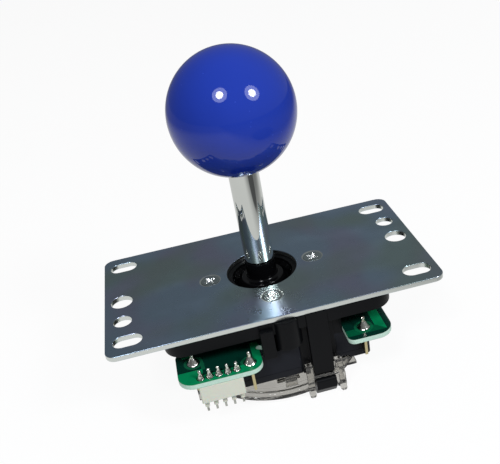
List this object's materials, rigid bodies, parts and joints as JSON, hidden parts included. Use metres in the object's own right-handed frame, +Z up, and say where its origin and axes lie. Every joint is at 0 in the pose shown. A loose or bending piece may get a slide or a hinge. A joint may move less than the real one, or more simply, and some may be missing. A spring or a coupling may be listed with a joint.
{
  "type": "arcade joystick lever",
  "caption": "Panel-mount arcade lever: ball knob on a chrome shaft, slotted steel plate, moulded body, circuit board with microswitches and a clear square gate.",
  "frame": {"origin": "middle of the four panel slots, in the mounting plate's top face, on the lever's axis", "axes": "+Z up along the lever, +X along the plate's long side, +Y to the back"},
  "size_m": [0.095, 0.0626, 0.0977],
  "materials": {
    "zinc_plate": "zinc plated sheet steel, clear passivated, slightly iridescent",
    "screw_steel": "zinc plated machine screws",
    "black_moulding": "semi-gloss black moulded plastic",
    "black_acetal": "smooth greased black acetal",
    "blue_gloss": "polished royal blue",
    "chrome_steel": "chrome plated",
    "insert_brass": "turned and knurled",
    "spring_steel": "bright spring steel",
    "green_laminate": "green solder mask over glass laminate",
    "solder": "bright tin solder",
    "tinned_brass": "tinned brass strip",
    "ivory_nylon": "ivory nylon",
    "switch_phenolic": "fine matte black",
    "switch_cover_black": "fine matte black",
    "plunger_red": "smooth red moulding",
    "clear_polycarbonate": "smoky clear polycarbonate",
    "clear_gate": "smoky clear polycarbonate"
  },
  "bodies": {
    "housing": {"mounting_plate": "zinc_plate", "plate_screws": "screw_steel", "body": "black_moulding", "circuit_board": "green_laminate", "solder_joints": "solder", "header_housing": "ivory_nylon", "header_pins": "tinned_brass", "gate_carrier": "clear_polycarbonate", "restrictor_gate": "clear_gate", "spring_seat": "spring_steel", "switch_case_front": "switch_phenolic", "switch_cover_front": "switch_cover_black", "com_terminal_front": "tinned_brass", "no_terminal_front": "tinned_brass", "switch_case_right": "switch_phenolic", "switch_cover_right": "switch_cover_black", "com_terminal_right": "tinned_brass", "no_terminal_right": "tinned_brass", "switch_case_back": "switch_phenolic", "switch_cover_back": "switch_cover_black", "com_terminal_back": "tinned_brass", "no_terminal_back": "tinned_brass", "switch_case_left": "switch_phenolic", "switch_cover_left": "switch_cover_black", "com_terminal_left": "tinned_brass", "no_terminal_left": "tinned_brass"},
    "pins": {"pivot_pins": "spring_steel"},
    "pivot": {"pivot": "black_acetal"},
    "lever": {"lever_shaft": "chrome_steel", "ball_knob": "blue_gloss", "knob_insert": "insert_brass", "actuator": "black_acetal", "e_clip": "spring_steel", "return_spring": "spring_steel"},
    "plunger_front": {"switch_plunger_front": "plunger_red"},
    "plunger_right": {"switch_plunger_right": "plunger_red"},
    "plunger_back": {"switch_plunger_back": "plunger_red"},
    "plunger_left": {"switch_plunger_left": "plunger_red"}
  },
  "joints": [
    {"name": "tilt_front_back", "type": "hinge", "parent": "housing", "child": "pins", "pos_m": [0, 0, -0.005], "axis": [1, 0, 0], "range_deg": [-9.3, 9.3], "stiffness_Nm_per_rad": 0.5, "deforming": ["return_spring"]},
    {"name": "tilt_left_right", "type": "hinge", "parent": "pins", "child": "pivot", "pos_m": [0, 0, -0.005], "axis": [0, 1, 0], "range_deg": [-9.3, 9.3], "stiffness_Nm_per_rad": 0.5, "deforming": ["return_spring"]},
    {"name": "shaft_spin", "type": "hinge", "parent": "pivot", "child": "lever", "pos_m": [0, 0, 0], "axis": [0, 0, 1], "continuous": true},
    {"name": "plunger_front_slide", "type": "slide", "parent": "housing", "child": "plunger_front", "axis": [0, -1, 0], "range_m": [-0.0021, 0.0021]},
    {"name": "plunger_right_slide", "type": "slide", "parent": "housing", "child": "plunger_right", "axis": [1, 0, 0], "range_m": [-0.0021, 0.0021]},
    {"name": "plunger_back_slide", "type": "slide", "parent": "housing", "child": "plunger_back", "axis": [0, 1, 0], "range_m": [-0.0021, 0.0021]},
    {"name": "plunger_left_slide", "type": "slide", "parent": "housing", "child": "plunger_left", "axis": [-1, 0, 0], "range_m": [-0.0021, 0.0021]}
  ],
  "couplings": [
    {"joint": "plunger_front_slide", "follows": "tilt_front_back", "m_per_rad": -0.012815},
    {"joint": "plunger_right_slide", "follows": "tilt_left_right", "m_per_rad": -0.012815},
    {"joint": "plunger_back_slide", "follows": "tilt_front_back", "m_per_rad": 0.012815},
    {"joint": "plunger_left_slide", "follows": "tilt_left_right", "m_per_rad": 0.012815}
  ]
}
